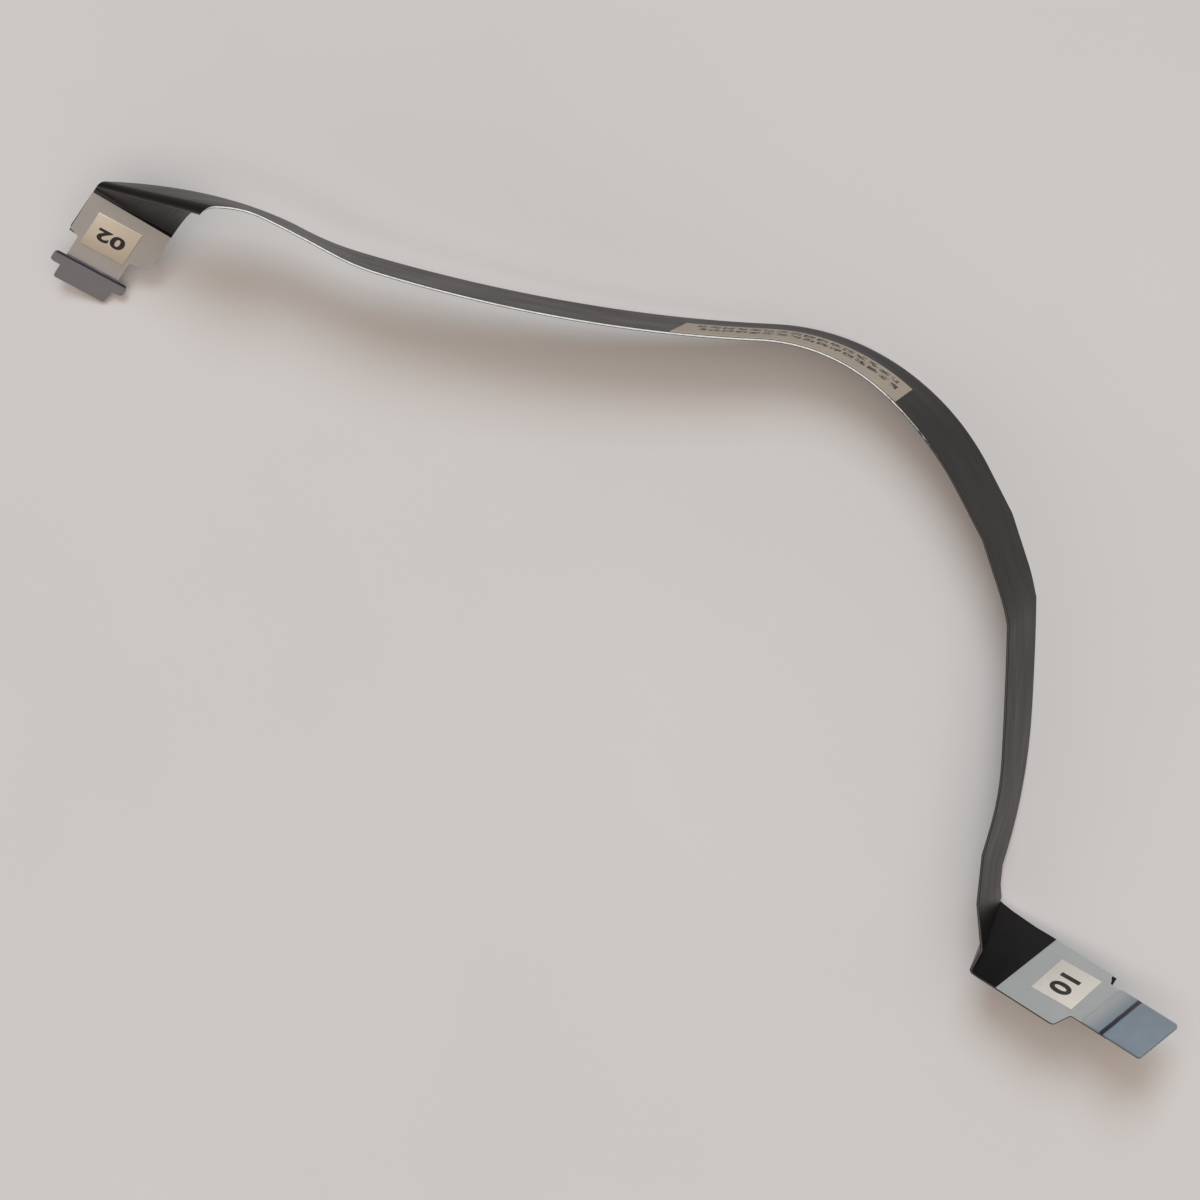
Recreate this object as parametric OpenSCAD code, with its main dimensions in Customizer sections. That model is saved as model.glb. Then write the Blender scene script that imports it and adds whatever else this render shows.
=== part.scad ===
// Flat flex cable, folded near one end and curled over at the other, lying on its long edge.
// Every film and conductor is one developable strip. It is drawn flat, then turned about a series of
// crease lines, so each layer keeps its flat width and length and bears on the layer below it.
// Flat positions are [along, across]: along runs from the tip of end a, across from the middle line
// towards the far edge. Heights are measured through the thickness from the back face.

/* [Cable] */
// Width of the cable between its two tails
cable_w = 8.5; // [7.5:0.1:11]
// Thickness of each black cover film
cover_t = 0.05; // [0.03:0.01:0.08]
// Thickness of the insulation film under the conductors
back_film_t = 0.05; // [0.03:0.01:0.08]
// Thickness of the insulation film over the conductors
front_film_t = 0.09; // [0.07:0.01:0.14]

/* [Conductors] */
// Distance from one conductor to the next
pitch = 0.5; // [0.45:0.01:0.6]
// Width of each conductor
conductor_w = 0.3; // [0.2:0.01:0.36]
// Thickness of each conductor
conductor_t = 0.035; // [0.02:0.005:0.05]
// Clearance round each conductor in its channel
channel_gap = 0.01; // [0.005:0.005:0.02]

/* [Tails] */
// Length of each tail from its tip to its shoulders
tail_l = 8.3; // [6.9:0.1:10]
// Distance of each tail's middle from the cable's middle, towards the far edge
tail_shift = 0.45; // [0:0.05:0.6]
// How much further back a shoulder's outer corner lies than its inner corner
shoulder_rake = 0.3; // [0.1:0.05:0.5]
// Radius of the shoulder corners
shoulder_r = 0.35; // [0.1:0.05:0.4]
// Radius of the tip corners
tip_r = 0.3; // [0.1:0.05:0.34]
// Length of bare conductor on the back of each tail
bare_l = 3.8; // [3:0.1:4.6]

/* [Stiffeners] */
// Thickness of the stiffeners
stiffener_t = 0.2; // [0.1:0.01:0.25]
// Length of the stiffener at end a
stiffener_a_l = 6.6; // [5.5:0.1:7.9]
// Length of the stiffener at end b
stiffener_b_l = 4.4; // [3.6:0.1:5.3]
// Reach of the ears beyond the tail at end b
ear_w = 1.15; // [0.5:0.05:1.4]
// Length of the ears along the tail
ear_l = 1.8; // [1.3:0.1:2.2]
// Radius of the ears' outer corners
ear_r = 0.5; // [0.1:0.05:0.6]
// Distance from the band-side end of stiffener b to its ears
ear_setback = 0.25; // [0:0.05:0.6]

/* [Covers] */
// Distance from the tip of end a to the front cover
light_a_l = 15.1; // [14:0.1:18]
// Distance from the tip of end b to the front cover
light_b_l = 15.8; // [14:0.1:16.5]
// How far the back cover passes the shoulders
back_cover_lap = 0.25; // [0:0.05:0.5]

/* [Labels] */
// Thickness of the end labels
end_label_t = 0.08; // [0.05:0.01:0.12]
// Width of the end labels, across the cable
end_label_w = 4.6; // [3.5:0.1:5.2]
// Length of the label at end a
label_a_l = 4.5; // [3:0.1:5.4]
// Distance from the tip of end a to the middle of its label
label_a_at = 10.7; // [10:0.1:11.5]
// Length of the label at end b
label_b_l = 6.0; // [4:0.1:6.6]
// Distance from the tip of end b to the middle of its label
label_b_at = 10.2; // [9:0.1:11.5]
// Thickness of the long label
long_label_t = 0.07; // [0.05:0.01:0.12]
// Width of the long label
long_label_w = 5.2; // [4:0.1:6.2]
// Length of the long label
long_label_l = 22; // [15:0.5:24]
// Distance from the tip of end a to the start of the long label
long_label_at = 74; // [72:0.5:76]
// Margin between the long label and the near edge
long_label_margin = 0.2; // [0.1:0.05:1]

/* [Hidden] */

// Crease lines. The first bend starts at these distances along the far and the near edge. Each
// bend is [far edge length, near edge length, crease lines, turn]: where the lengths differ the
// crease lines fan out, and a positive turn closes the front face.
first_bend = [20.8, 17.2];
bends = [
    [2.2, 2.7, 3, 92],     // fold that stands the band on its edge
    [9.5, 9.0, 2, 0],
    [8.0, 13.5, 3, -8],
    [10.0, 8.5, 3, -2],
    [2.5, 1.3, 1, -13],    // sharp crease
    [2.2, 2.5, 2, -7],
    [9.0, 9.5, 1, -10],    // light crease
    [8.0, 10.5, 4, -20],
    [16.5, 13.0, 5, -43],  // long curve round to the label
    [12.5, 11.5, 3, 5],
    [23.5, 21.5, 2, 8],
    [11.0, 9.0, 3, 17],
    [0.4, 8.0, 2, -8],
    [19.0, 2.1, 3, -26],
    [1.1, 3.5, 6, -184],   // roll over at end b
    [0.4, 12.0, 3, 59]
];
last_flat_l = 17.6;

// The folded cable rests on the tip of end b and on two spots of its far edge, this far along. Its
// turn on the table follows them.
rest_edge = [51, 63];
table_turn = 9.7;

conductor_n = 10;
arc_steps = 3;

tail_w = (conductor_n + 1) * pitch;
tail_low = tail_shift - tail_w / 2;
tail_high = tail_shift + tail_w / 2;
edge = cable_w / 2;

// Heights of the layers
back_cover_top = cover_t;
conductor_base = back_cover_top + back_film_t;
film_top = conductor_base + front_film_t;
cable_t = film_top + cover_t;
middle_h = cable_t / 2;

function ahead(s, bend) = s + [bend[0], bend[1]];
bend_starts = [
    for (i = 0, s = first_bend; i <= len(bends); s = i < len(bends) ? ahead(s, bends[i]) : s, i = i + 1) s
];
bends_end = bend_starts[len(bends)];
cable_l = (bends_end[0] + bends_end[1]) / 2 + last_flat_l;

// Each crease line: [distance along the far edge, distance along the near edge, turn]
creases = [
    for (i = [0:len(bends) - 1], k = [0:bends[i][2] - 1])
        let (
            bend = bends[i],
            from = bend_starts[i],
            part = (k + 0.5) / bend[2]
        )
        [from[0] + bend[0] * part, from[1] + bend[1] * part, bend[3] / bend[2]]
];

function unit(v) = v / norm(v);
function turned(v, axis, angle) =
    v * cos(angle) + cross(axis, v) * sin(angle) + axis * (axis * v) * (1 - cos(angle));

// A panel is the flat piece between two crease lines: [along, point, direction along, direction across]
function crease_along(c, across) = (c[0] + c[1]) / 2 + (c[0] - c[1]) * across / cable_w;
function next_panel(p, c) =
    let (
        along = crease_along(c, 0),
        axis = unit((c[0] - c[1]) / cable_w * p[2] + p[3])
    )
    [along, p[1] + (along - p[0]) * p[2], turned(p[2], axis, c[2]), turned(p[3], axis, c[2])];
last_panel = len(creases);
function chain(first) = [
    for (k = 0, p = first; k <= last_panel; p = k < last_panel ? next_panel(p, creases[k]) : p, k = k + 1) p
];
function out_of(panel) = cross(panel[3], panel[2]);
function panel_at(along, across) = len([for (c = creases) if (along > crease_along(c, across)) 1]);
function on_panel(panels, j, along, across, h) =
    let (p = panels[j])
    p[1] + (along - p[0]) * p[2] + across * p[3] + (h - middle_h) * out_of(p);
function on_crease(panels, k, across, h) =
    let (
        p = panels[k + 1],
        before = out_of(panels[k]),
        after = out_of(p)
    )
    on_panel(panels, k + 1, crease_along(creases[k], across), across, middle_h)
        + (h - middle_h) * (before + after) / (1 + before * after);

// The cable is folded first in the frame of end a, then turned to rest on its three spots
loose = chain([0, [0, 0, 0], [1, 0, 0], [0, 1, 0]]);
function loose_spot(along, across) = on_panel(loose, panel_at(along, across), along, across, middle_h);
edge_spots = [for (along = rest_edge) loose_spot(along, edge)];
tip_spot = loose_spot(cable_l, tail_low);
table_x = unit(edge_spots[0] - tip_spot);
table_up = unit(cross(table_x, edge_spots[1] - tip_spot));
table_y = cross(table_up, table_x);
table = [
    table_x * cos(table_turn) + table_y * sin(table_turn),
    table_y * cos(table_turn) - table_x * sin(table_turn),
    table_up
];

// The corners that reach furthest, for centring the part over its origin
tip_top = film_top + stiffener_t;
reach = [
    for (k = [0:last_panel - 1], across = [-edge, edge], h = [0, cable_t])
        table * on_crease(loose, k, across, h),
    for (across = [tail_low, tail_high], h = [conductor_base, tip_top]) each [
        table * on_panel(loose, 0, 0, across, h),
        table * on_panel(loose, last_panel, cable_l, across, h)
    ],
    for (across = [-edge, edge], h = [0, film_top]) each [
        table * on_panel(loose, 0, tail_l, across, h),
        table * on_panel(loose, last_panel, cable_l - tail_l, across, h)
    ]
];
function low(i) = min([for (p = reach) p[i]]);
function high(i) = max([for (p = reach) p[i]]);
origin = [(low(0) + high(0)) / 2, (low(1) + high(1)) / 2, low(2)];
panels = [for (p = loose) [p[0], table * p[1] - origin, table * p[2], table * p[3]]];

// Cross sections are closed outlines of [across, height]
function flat_section(from, to, base, top) = [[from, base], [to, base], [to, top], [from, top]];
function conductor_across(i) = tail_shift + (i - (conductor_n + 1) / 2) * pitch;
function channel_section(i) =
    let (
        reach_w = conductor_w / 2 + channel_gap,
        middle = conductor_across(i),
        roof = conductor_base + conductor_t + channel_gap
    )
    [
        [middle - reach_w, conductor_base], [middle - reach_w, roof],
        [middle + reach_w, roof], [middle + reach_w, conductor_base]
    ];
channelled_section = [
    [-edge, conductor_base],
    for (i = [1:conductor_n]) each channel_section(i),
    [edge, conductor_base], [edge, film_top], [-edge, film_top]
];

function crease_rings(section, first, last) = [
    for (k = first; k < last; k = k + 1) [for (q = section) on_crease(panels, k, q[0], q[1])]
];
function panel_ring(section, j, along) = [for (q = section) on_panel(panels, j, along, q[0], q[1])];
function strip_rings(section, from, to) =
    let (
        first = panel_at(from, 0),
        last = panel_at(to, 0)
    )
    concat(
        [panel_ring(section, first, from)],
        crease_rings(section, first, last),
        [panel_ring(section, last, to)]
    );

// Outline of a tail: [distance from the tip, low side, high side]
arc_angles = [for (i = [0:arc_steps]) 90 * i / arc_steps];
function rounded_tip() = [
    for (a = arc_angles)
        let (inset = tip_r * (1 - sin(a)))
            [tip_r * (1 - cos(a)), tail_low + inset, tail_high - inset]
];
function shoulders() = [
    for (a = arc_angles) [
        tail_l - shoulder_rake - shoulder_r * (1 - sin(a)),
        tail_low - shoulder_r * (1 - cos(a)),
        tail_high + shoulder_r * (1 - cos(a))
    ],
    for (a = arc_angles) [
        tail_l + shoulder_r * (1 - cos(a)),
        -edge + shoulder_r * (1 - sin(a)),
        edge - shoulder_r * (1 - sin(a))
    ]
];
function clamped(section, from, to) = [for (q = section) [min(max(q[0], from), to), q[1]]];
function tail_rings(section, outline, end_a) = [
    for (s = outline)
        let (narrow = clamped(section, s[1], s[2]))
            end_a ? panel_ring(narrow, 0, s[0]) : panel_ring(narrow, last_panel, cable_l - s[0])
];
function reversed(list) = [for (i = [len(list) - 1:-1:0]) list[i]];
function tailed_rings(section, outline) =
    concat(
        tail_rings(section, outline, true),
        crease_rings(section, 0, last_panel),
        reversed(tail_rings(section, outline, false))
    );

// Solid between a row of rings that all have as many points
module swept(rings) {
    n = len(rings[0]);
    last = (len(rings) - 1) * n;
    polyhedron(
        points = [for (ring = rings) each ring],
        faces = [
            [for (i = [n - 1:-1:0]) i],
            for (k = [0:len(rings) - 2], i = [0:n - 1])
                let (
                    a = k * n + i,
                    b = k * n + (i + 1) % n
                )
                each [[a, b + n, a + n], [a, b, b + n]],
            [for (i = [0:n - 1]) last + i]
        ],
        convexity = 10
    );
}

// Puts a flat outline, drawn as [across, distance from the tip], on the flat panel of an end
module on_end(end_a, base) {
    p = end_a ? panels[0] : panels[last_panel];
    o = on_panel(panels, end_a ? 0 : last_panel, end_a ? 0 : cable_l, 0, base);
    x = p[3];
    y = p[2];
    z = out_of(p);
    multmatrix([[x[0], y[0], z[0], o[0]], [x[1], y[1], z[1], o[1]], [x[2], y[2], z[2], o[2]]])
        mirror([0, end_a ? 0 : 1, 0])
            children();
}

module top_insulation() {
    color("#b4b6b2")
        swept(tailed_rings(channelled_section, concat(rounded_tip(), shoulders())));
}

module bottom_insulation() {
    color("#e6e6e2")
        swept(tailed_rings(
            flat_section(-edge, edge, back_cover_top, conductor_base),
            concat([[bare_l, tail_low, tail_high]], shoulders())
        ));
}

module conductor(i) {
    middle = conductor_across(i);
    color("#c8c4b8")
        swept(strip_rings(
            flat_section(
                middle - conductor_w / 2, middle + conductor_w / 2,
                conductor_base, conductor_base + conductor_t
            ),
            0, cable_l
        ));
}

module cover_front() {
    color("#26262a")
        swept(strip_rings(
            flat_section(-edge, edge, film_top, cable_t),
            light_a_l, cable_l - light_b_l
        ));
}

module cover_back() {
    color("#1c1c20")
        swept(strip_rings(
            flat_section(-edge, edge, 0, back_cover_top),
            tail_l - back_cover_lap, cable_l - tail_l + back_cover_lap
        ));
}

// One side of a stiffener's outline: [distance from the tail's middle, distance from the tip]
function tip_side() = [
    for (a = arc_angles) [tail_w / 2 - tip_r * (1 - sin(a)), tip_r * (1 - cos(a))]
];
function ear_side(from) =
    let (
        to = from + ear_l,
        reach_w = tail_w / 2 + ear_w
    )
    [
        [tail_w / 2, from],
        for (a = arc_angles) [reach_w - ear_r * (1 - sin(a)), from + ear_r * (1 - cos(a))],
        for (a = arc_angles) [reach_w - ear_r * (1 - cos(a)), to - ear_r * (1 - sin(a))],
        [tail_w / 2, to]
    ];

module stiffener(end_a, side) {
    on_end(end_a, film_top)
        linear_extrude(stiffener_t)
            polygon(concat(
                [for (s = side) [tail_shift + s[0], s[1]]],
                [for (s = reversed(side)) [tail_shift - s[0], s[1]]]
            ));
}

module stiffener_a() {
    color("#71808e")
        stiffener(true, concat(tip_side(), [[tail_w / 2, stiffener_a_l]]));
}

module stiffener_b() {
    ears = ear_side(stiffener_b_l - ear_setback - ear_l);
    color("#6d6a6c")
        stiffener(false, concat(tip_side(), ears, [[tail_w / 2, stiffener_b_l]]));
}

module end_label(end_a, at, length) {
    on_end(end_a, film_top)
        translate([tail_shift - end_label_w / 2, at - length / 2])
            cube([end_label_w, length, end_label_t]);
}

module label_a() {
    color("#c8c6bc")
        end_label(true, label_a_at, label_a_l);
}

module label_b() {
    color("#c4b6a4")
        end_label(false, label_b_at, label_b_l);
}

module label_long() {
    low_side = -edge + long_label_margin;
    color("#cfc6b2")
        swept(strip_rings(
            flat_section(low_side, low_side + long_label_w, cable_t, cable_t + long_label_t),
            long_label_at, long_label_at + long_label_l
        ));
}

top_insulation();
bottom_insulation();
conductor(1);  // conductor_01
conductor(2);  // conductor_02
conductor(3);  // conductor_03
conductor(4);  // conductor_04
conductor(5);  // conductor_05
conductor(6);  // conductor_06
conductor(7);  // conductor_07
conductor(8);  // conductor_08
conductor(9);  // conductor_09
conductor(10);  // conductor_10
cover_front();
cover_back();
stiffener_a();
stiffener_b();
label_a();
label_b();
label_long();
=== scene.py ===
"""Looks of a folded flat flex cable, laid out as an add-on and run as a script.

Every film, conductor and label is drawn flat, as [along, across, height], then folded with the cable:
along runs from the tip of end a, across from the middle line towards the far edge, and height from the
back face. Lengths are in metres.
"""

import math

import bmesh
import bpy
from bpy.props import (
    FloatProperty,
    FloatVectorProperty,
    IntProperty,
    PointerProperty,
)
from mathutils import Matrix, Vector


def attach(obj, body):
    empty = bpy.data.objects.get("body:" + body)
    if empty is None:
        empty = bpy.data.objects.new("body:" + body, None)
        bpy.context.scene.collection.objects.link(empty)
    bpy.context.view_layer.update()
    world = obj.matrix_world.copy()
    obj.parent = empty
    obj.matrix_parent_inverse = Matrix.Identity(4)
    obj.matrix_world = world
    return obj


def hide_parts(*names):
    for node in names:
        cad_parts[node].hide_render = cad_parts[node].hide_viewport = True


bl_info = {
    "name": "Folded Flat Flex Cable",
    "version": (1, 0, 0),
    "blender": (4, 5, 0),
    "location": "3D View > Sidebar > Flex Cable",
    "description": "Builds the films, conductors, stiffeners and labels of a folded flat flex cable",
    "category": "Object",
}

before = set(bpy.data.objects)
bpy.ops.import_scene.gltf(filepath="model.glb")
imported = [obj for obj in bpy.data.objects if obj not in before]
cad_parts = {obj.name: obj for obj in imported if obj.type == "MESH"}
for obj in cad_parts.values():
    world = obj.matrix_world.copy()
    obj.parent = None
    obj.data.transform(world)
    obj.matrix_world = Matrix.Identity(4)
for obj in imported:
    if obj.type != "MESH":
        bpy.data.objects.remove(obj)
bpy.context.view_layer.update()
BODY = "root"
MM = 0.001

# The middle of end a's tip as it lies, with the directions along and across the cable there
TIP_A = Vector((58.2915, -33.8398, 10.6932)) * MM
ALONG_A = Vector((-0.932705, 0.245865, -0.263841)).normalized()
ACROSS_A = Vector((0.327340, 0.270105, -0.905479)).normalized()

# The first bend starts at these distances along the far and the near edge. Each bend is [far edge
# length, near edge length, turn in degrees, crisp crease lines]: where the lengths differ its crease
# lines fan out, a positive turn closes the front face, and 0 crisp lines make a soft bend.
FIRST_BEND = (15.4, 16.1)
BENDS = (
    (0.6, 0.6, -2, 1),
    (5.8, 1.1, 11, 2),
    (0.5, 0.5, 102, 2),  # the fold near end a
    (0.4, 4.1, -33, 1),
    (3.9, 9.5, 22, 2),
    (14.7, 7.0, -13.5, 0),
    (9.2, 12.0, -1.6, 0),
    (2.5, 1.3, -13, 1),  # sharp crease
    (2.2, 2.5, -7, 0),
    (9.0, 9.5, -10, 1),  # light crease
    (8.0, 10.5, -20, 0),
    (16.5, 13.0, -43, 0),  # the long curve round to the label
    (12.5, 11.5, 5, 0),
    (28.0, 24.8, 9.7, 0),
    (6.4, 4.9, 14.9, 0),
    (0.3, 7.4, -3.7, 0),
    (19.2, 4.5, -28.9, 0),
    (1.5, 2.8, -171.8, 0),  # the roll over at end b
    (0.3, 14.5, 49.1, 0),
)
LAST_FLAT = 16.1
CREASE_STEP = 0.4  # mm of edge between two crease lines
CREASE_TURN = 4.0  # degrees, at most, at one crease line
SHARP_TURN = 4.0  # degrees per mm, above which a bend keeps its own tight radius
EASING = 1.3  # mm over which a gentle bend starts and stops
LEAD = 0.3  # mm from the first and last bend to the crease lines that let them start and stop softly

SMALLEST = 0.001 * MM  # lengths closer than this count as the same
RELIEF = 0.006 * MM  # depth of the fine relief on films and paper
SHARP_EDGE = math.radians(35)  # edges sharper than this stay crisp

CAMERA_PLACE = (0.19618, 0.15094, 0.40232)
CAMERA_TURN = (-19.095, 26.247, 0.013)  # degrees
TO_CAMERA = Vector((0.418, 0.327, 0.8475))
TO_WINDOW = Vector((0.40, 0.97, 1.0))
TABLE_REACH = 3.0  # metres from its middle, so that its edge is out of sight from every side


def linear(text):
    """An sRGB hex colour as linear red, green and blue."""
    parts = [int(text[i : i + 2], 16) / 255 for i in (1, 3, 5)]
    return tuple(c / 12.92 if c <= 0.04045 else ((c + 0.055) / 1.055) ** 2.4 for c in parts)


# ---------------------------------------------------------------- what a user may change


def size(name, description, mm):
    return FloatProperty(name=name, description=description, default=mm * MM, precision=5, unit="LENGTH")


def tint(name, description, text):
    return FloatVectorProperty(
        name=name, description=description, default=linear(text), subtype="COLOR", size=3, min=0, max=1
    )


class FlexCableSizes(bpy.types.PropertyGroup):
    """Flat sizes of the cable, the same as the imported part's."""

    width: size("Width", "Width of the cable between its tails", 8.5)
    cover_t: size("Cover Thickness", "Thickness of each black cover film", 0.05)
    back_film_t: size("Back Film Thickness", "Thickness of the film under the conductors", 0.05)
    front_film_t: size("Front Film Thickness", "Thickness of the film over the conductors", 0.09)
    conductor_n: IntProperty(name="Conductors", description="Number of conductors", default=10, min=1, max=40)
    pitch: size("Pitch", "Distance from one conductor to the next", 0.5)
    conductor_w: size("Conductor Width", "Width of each conductor", 0.3)
    conductor_t: size("Conductor Thickness", "Thickness of each conductor", 0.035)
    tail_l: size("Tail Length", "Length of each tail from tip to shoulders", 8.3)
    tail_shift: size("Tail Shift", "How far the tails lie towards the far edge", 0.45)
    shoulder_rake: size("Shoulder Rake", "How much further back a shoulder's outer corner lies", 0.3)
    shoulder_r: size("Shoulder Radius", "Radius of the shoulder corners", 0.35)
    tip_r: size("Tip Radius", "Radius of the tip corners", 0.3)
    bare_l: size("Bare Length", "Length of bare conductor on the back of each tail", 3.8)
    stiffener_t: size("Stiffener Thickness", "Thickness of the stiffeners", 0.2)
    stiffener_a_l: size("Stiffener A Length", "Length of the stiffener at end a", 6.6)
    stiffener_b_l: size("Stiffener B Length", "Length of the stiffener at end b", 4.4)
    line_a_at: size("Line A", "Distance from the tip of end a to its dark line", 4.4)
    line_b_at: size("Line B", "Distance from the tip of end b to its dark line", 4.2)
    line_w: size("Line Width", "Width of the dark lines across the tails", 0.46)
    ear_w: size("Ear Width", "Reach of the ears beyond the tail at end b", 1.15)
    ear_l: size("Ear Length", "Length of the ears along the tail", 1.8)
    ear_r: size("Ear Radius", "Radius of the ears' outer corners", 0.5)
    ear_setback: size("Ear Setback", "Distance from the band side of stiffener b to its ears", 0.25)
    light_a_l: size("Light Section A", "Distance from the tip of end a to the front cover", 15.1)
    light_b_l: size("Light Section B", "Distance from the tip of end b to the front cover", 15.8)
    back_cover_lap: size("Back Cover Lap", "How far the back cover passes the far shoulder", 0.3)
    back_cover_side: size("Back Cover Side", "How far the back cover shows at the far edge at end b", 0.09)
    bright_from: size("Bright Edge Start", "Distance from the tip of end a to the bright stretch", 71)
    bright_to: size("Bright Edge End", "Distance from the tip of end a to its other end", 174)
    end_label_t: size("End Label Thickness", "Thickness of the end labels", 0.08)
    end_label_w: size("End Label Width", "Width of the end labels across the cable", 4.6)
    label_a_l: size("Label A Length", "Length of the label at end a", 4.5)
    label_a_at: size("Label A Place", "Distance from the tip of end a to its label's middle", 10.7)
    label_b_l: size("Label B Length", "Length of the label at end b", 6.0)
    label_b_at: size("Label B Place", "Distance from the tip of end b to its label's middle", 10.2)
    digit_h: size("Digit Height", "Height of the digits on the end labels", 1.95)
    long_label_t: size("Long Label Thickness", "Thickness of the long label", 0.07)
    long_label_w: size("Long Label Width", "Width of the long label", 5.2)
    long_label_l: size("Long Label Length", "Length of the long label", 22)
    long_label_at: size("Long Label Start", "Distance from the tip of end a to the long label", 74)
    long_label_margin: size("Long Label Margin", "Margin between the long label and the near edge", 0.03)


class FlexCableColours(bpy.types.PropertyGroup):
    """Colours of the films, metal and paper."""

    cover: tint("Cover", "Black cover film", "#0f0f10")
    film_a: tint("Insulation A", "Insulation film over the conductors at end a", "#979795")
    # The same film as at end a; its warmer colour is painted warm light on end b
    film_b_warm_lit: tint("Insulation B", "Insulation film at end b, warmer as painted warm light", "#b7b1aa")
    cut: tint("Cut Edge", "Bright cut edge of the white films", "#dedbd6")
    # Outside the bright stretch the cut edge takes this dark colour: painted shade, with some dark glue
    cut_shade_and_glue: tint("Dark Cut Edge", "Cut edge painted dark as painted shade, with some dark glue", "#3c3a38")
    metal: tint("Conductor", "Tinned copper", "#cfcabb")
    stiffener_a: tint("Stiffener A", "Blue stiffener at end a", "#6f7982")
    stiffener_b: tint("Stiffener B", "Grey stiffener at end b", "#7e7a7e")
    # The dark line across the tails is painted shade where the film under the stiffener ends
    line: tint("Line", "Dark line across the tails", "#1c1826")
    label_a: tint("Label A", "Paper of the label at end a", "#c3bbb0")
    label_b: tint("Label B", "Paper of the label at end b", "#dfcfbb")
    long_label: tint("Long Label", "Paper of the long label", "#9f9182")
    ink: tint("Ink", "Printing ink", "#1d1b18")


class FlexCableStage(bpy.types.PropertyGroup):
    """Floor, light and camera."""

    floor: tint("Floor", "Pale table top", "#ccc6c3")
    sky: FloatVectorProperty(
        name="Room Light",
        description="Warm light from all round",
        default=(0.73, 0.66, 0.60),
        subtype="COLOR",
        size=3,
    )
    lamp: FloatVectorProperty(
        name="Window Light",
        description="Cool light from one side",
        default=(0.68, 0.86, 1.0),
        subtype="COLOR",
        size=3,
    )
    lamp_power: FloatProperty(name="Window Power", description="Strength of the window light", default=1.87)
    lamp_spread: FloatProperty(
        name="Window Spread", description="Angle the window fills", default=math.radians(19), unit="ROTATION"
    )
    near_share: FloatProperty(
        name="Near Share", description="Part of the warm light from the camera's side", default=0.65
    )
    near_spread: FloatProperty(
        name="Near Spread", description="Angle it fills", default=math.radians(50), unit="ROTATION"
    )
    lens: FloatProperty(name="Lens", description="Focal length in millimetres", default=151.6)


# ---------------------------------------------------------------- the folded cable


def crease_lines():
    """Crease lines as [distance along the far edge, along the near edge, turn], in metres and radians."""
    lines = []
    far, near = FIRST_BEND
    lines.append([far - LEAD, near - LEAD, 0.0, False])
    for far_l, near_l, turn, crisp in BENDS:
        n = crisp or max(math.ceil(max(far_l, near_l) / CREASE_STEP), math.ceil(abs(turn) / CREASE_TURN))
        sharp = crisp > 0 or abs(turn) > SHARP_TURN * (far_l + near_l) / 2
        for k in range(n):
            part = (k + 0.5) / n
            lines.append([far + far_l * part, near + near_l * part, turn / n, sharp])
        far, near = far + far_l, near + near_l
    lines.append([far + LEAD, near + LEAD, 0.0, False])
    # A gentle bend's turn is spread over its neighbours, so that it starts and stops softly
    turns = [0.0] * len(lines)
    for i, (p, q, turn, sharp) in enumerate(lines):
        if sharp:
            turns[i] += turn
            continue
        away = [((line[0] + line[1]) - (p + q)) / 2 for line in lines]
        shares = [0.0 if line[3] else math.exp(-2 * (gap / EASING) ** 2) for line, gap in zip(lines, away)]
        total = sum(shares)
        for j, share in enumerate(shares):
            turns[j] += turn * share / total
    return [(p * MM, q * MM, math.radians(t)) for (p, q, _, _), t in zip(lines, turns)]


class Fold:
    """The cable's flat panels, in order, each as [along, point, direction along, direction across]."""

    def __init__(self, sizes):
        self.width = sizes.width
        self.middle = (2 * sizes.cover_t + sizes.back_film_t + sizes.front_film_t) / 2
        self.creases = crease_lines()
        self.panels = [(0.0, TIP_A, ALONG_A, ACROSS_A)]
        for far, near, turn in self.creases:
            at, point, along, across = self.panels[-1]
            here = (far + near) / 2
            point = point + (here - at) * along
            turned = Matrix.Rotation(turn, 3, (along * ((far - near) / self.width) + across).normalized())
            self.panels.append((here, point, (turned @ along).normalized(), (turned @ across).normalized()))
        far_end = FIRST_BEND[0] + sum(b[0] for b in BENDS)
        near_end = FIRST_BEND[1] + sum(b[1] for b in BENDS)
        self.length = ((far_end + near_end) / 2 + LAST_FLAT) * MM

    def normal(self, panel):
        return self.panels[panel][3].cross(self.panels[panel][2])

    def station(self, along, low=None, high=None, skew=0.0):
        """A line across the cable that starts or ends a piece, or shapes its outline."""
        panel = sum(1 for far, near, _ in self.creases if along > (far + near) / 2)
        at, point, direction, across = self.panels[panel]
        return {
            "spot": point + (along - at) * direction,
            "across": across + skew * direction,
            "through": self.normal(panel),
            "along": along,
            "fan": skew,
            "low": -self.width if low is None else low,
            "high": self.width if high is None else high,
        }

    def crease_stations(self, start, end):
        """The crease lines between two distances along the cable."""
        found = []
        for k, (far, near, _) in enumerate(self.creases):
            here, fan = (far + near) / 2, (far - near) / self.width
            if start < here < end:
                _, point, direction, across = self.panels[k + 1]
                before, after = self.normal(k), self.normal(k + 1)
                found.append(
                    {
                        "spot": point,
                        "across": across + fan * direction,
                        "through": (before + after) / (1 + before.dot(after)),
                        "along": here,
                        "fan": fan,
                        "low": -self.width,
                        "high": self.width,
                    }
                )
        return found

    def matrix(self, end_a, height):
        """Places a flat drawing, as [across, distance from the tip], on the flat panel of an end."""
        panel = 0 if end_a else -1
        at, point, direction, across = self.panels[panel]
        tip = point + ((0.0 if end_a else self.length) - at) * direction
        inwards = direction if end_a else -direction
        front = across.cross(direction)
        turned = Matrix((across, inwards, front)).transposed().to_4x4()
        return Matrix.Translation(tip + (height - self.middle) * front) @ turned


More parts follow.
